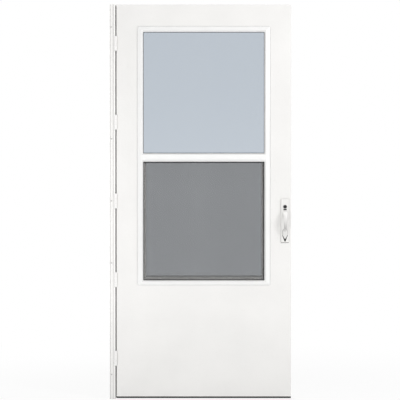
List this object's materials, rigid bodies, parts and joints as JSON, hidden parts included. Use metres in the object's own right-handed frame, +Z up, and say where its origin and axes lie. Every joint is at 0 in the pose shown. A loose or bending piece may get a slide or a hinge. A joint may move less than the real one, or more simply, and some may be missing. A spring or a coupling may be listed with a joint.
{
  "type": "storm door",
  "caption": "Hinged white storm door with an upper glass light, a lower insect screen, a pull handle and its side hinge rail.",
  "frame": {"origin": "on the back face of the hinge rail's screw flange, on its screw line, level with the lower edge of the door's sweep", "axes": "+X across the door from the hinge side to the latch side, -Y outdoors, +Z up"},
  "size_m": [0.935, 0.119, 2.032],
  "materials": {
    "white_metal": "semi-gloss baked white enamel on aluminium",
    "white_moulding": "smooth moulded white plastic with a soft gloss",
    "wood_core": "bare particle board core",
    "clear_glass": "clear tempered glass with a faint cool tint",
    "black_vinyl": "matt black vinyl",
    "grey_vinyl": "soft pale grey vinyl",
    "screen_mesh": "charcoal woven insect mesh",
    "dark_metal": "satin black enamel",
    "handle_enamel": "glossy white enamel on die-cast metal",
    "bright_steel": "plain zinc-plated steel"
  },
  "bodies": {
    "rail": {"hinge_rail": "white_metal", "rail_seal": "grey_vinyl", "hinge_1_rail_leaf": "white_metal", "hinge_1_pin": "bright_steel", "hinge_2_rail_leaf": "white_metal", "hinge_2_pin": "bright_steel", "hinge_3_rail_leaf": "white_metal", "hinge_3_pin": "bright_steel", "hinge_4_rail_leaf": "white_metal", "hinge_4_pin": "bright_steel", "hinge_5_rail_leaf": "white_metal", "hinge_5_pin": "bright_steel"},
    "leaf": {"front_skin": "white_metal", "back_skin": "white_metal", "hinge_stile_core": "wood_core", "latch_stile_core": "wood_core", "top_rail_core": "wood_core", "lower_panel_core": "wood_core", "window_surround": "white_moulding", "inside_surround": "white_moulding", "upper_glass": "clear_glass", "upper_gasket": "black_vinyl", "screen_frame": "dark_metal", "insect_screen": "screen_mesh", "sash_glass": "clear_glass", "sash_frame": "white_metal", "bottom_expander": "white_metal", "bottom_sweep": "black_vinyl", "handle_plate": "handle_enamel", "slot_insert": "black_vinyl", "pull_grip": "handle_enamel", "inside_case": "handle_enamel", "inside_lever": "handle_enamel", "latch_bolt": "bright_steel", "hinge_1_door_leaf": "white_metal", "hinge_2_door_leaf": "white_metal", "hinge_3_door_leaf": "white_metal", "hinge_4_door_leaf": "white_metal", "hinge_5_door_leaf": "white_metal"},
    "button": {"push_button": "dark_metal"}
  },
  "joints": [
    {"name": "door_swing", "type": "hinge", "parent": "rail", "child": "leaf", "pos_m": [0.02325, -0.0112, 0], "axis": [0, 0, -1], "range_deg": [0, 90]},
    {"name": "button_press", "type": "slide", "parent": "leaf", "child": "button", "axis": [0, 1, 0], "range_m": [0, 0.003], "stiffness_N_per_m": 300}
  ]
}
